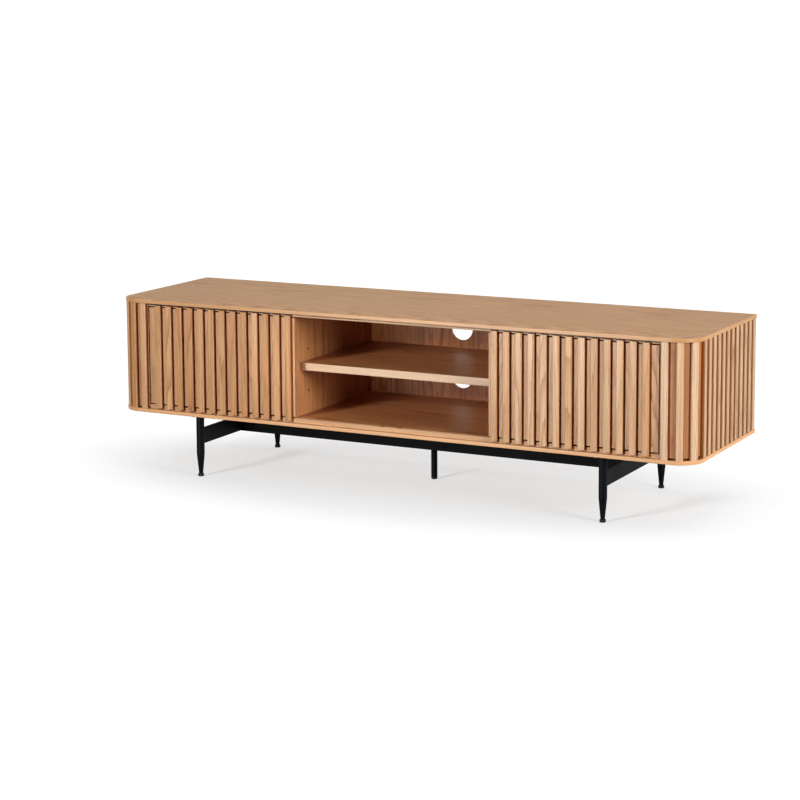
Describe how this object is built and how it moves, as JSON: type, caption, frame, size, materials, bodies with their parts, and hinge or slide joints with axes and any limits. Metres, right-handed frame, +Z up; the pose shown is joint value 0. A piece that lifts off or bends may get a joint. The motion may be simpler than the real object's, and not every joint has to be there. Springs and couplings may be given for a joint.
{
  "type": "media cabinet",
  "caption": "Long low oak media cabinet with rounded slatted front corners, two slatted sliding doors, an open shelf bay and a black steel leg base.",
  "frame": {"origin": "bottom centre: on the floor below the middle of the cabinet's width and depth", "axes": "+X to the right seen from the front, +Y to the back, +Z up; the doors slide along X"},
  "size_m": [1.8, 0.495, 0.515],
  "materials": {
    "oak_top": "natural oak veneer, satin lacquer, grain along X",
    "oak_slat": "solid natural oak slats, satin lacquer, grain upright, colour differs slat by slat",
    "oak_carcass": "natural oak veneer, satin lacquer",
    "oak_light": "pale solid oak lipping, satin lacquer",
    "beech_dowel": "raw beech",
    "black_steel": "matte black powder coat",
    "zinc_steel": "zinc-plated steel",
    "black_plastic": "matte black nylon",
    "rubber_black": "soft black rubber"
  },
  "bodies": {
    "cabinet": {"back_panel_centre": "oak_carcass", "back_panel_left": "oak_carcass", "back_panel_right": "oak_carcass", "back_screws": "zinc_steel", "base_screws": "zinc_steel", "bottom_panel": "oak_top", "bottom_track": "oak_carcass", "carcass_ceiling": "oak_carcass", "carcass_floor": "oak_carcass", "centre_leg": "black_steel", "centre_leg_glide": "black_plastic", "centre_leg_plate": "black_steel", "centre_rail": "black_steel", "door_bumpers": "rubber_black", "dowels": "beech_dowel", "foot_glides": "black_plastic", "left_corner_panel": "oak_carcass", "left_corner_slats": "oak_slat", "left_divider": "oak_carcass", "left_end_panel": "oak_carcass", "left_side_bar": "black_steel", "left_side_slats": "oak_slat", "leg_front_left": "black_steel", "leg_front_right": "black_steel", "leg_plates": "black_steel", "leg_rear_left": "black_steel", "leg_rear_right": "black_steel", "rail_bolts": "zinc_steel", "rail_brackets": "black_steel", "right_corner_panel": "oak_carcass", "right_corner_slats": "oak_slat", "right_divider": "oak_carcass", "right_end_panel": "oak_carcass", "right_side_bar": "black_steel", "right_side_slats": "oak_slat", "shelf": "oak_carcass", "shelf_lipping": "oak_light", "shelf_pins": "zinc_steel", "slab_screws": "zinc_steel", "top_panel": "oak_top", "top_track": "oak_carcass", "track_stops": "black_plastic"},
    "left_door": {"left_door_panel": "oak_carcass", "left_door_slats": "oak_slat", "left_door_glides": "black_plastic", "left_door_guides": "black_plastic"},
    "right_door": {"right_door_panel": "oak_carcass", "right_door_slats": "oak_slat", "right_door_glides": "black_plastic", "right_door_guides": "black_plastic"}
  },
  "joints": [
    {"name": "left_door_slide", "type": "slide", "parent": "cabinet", "child": "left_door", "axis": [1, 0, 0], "range_m": [0, 0.295]},
    {"name": "right_door_slide", "type": "slide", "parent": "cabinet", "child": "right_door", "axis": [-1, 0, 0], "range_m": [0, 0.295]}
  ]
}
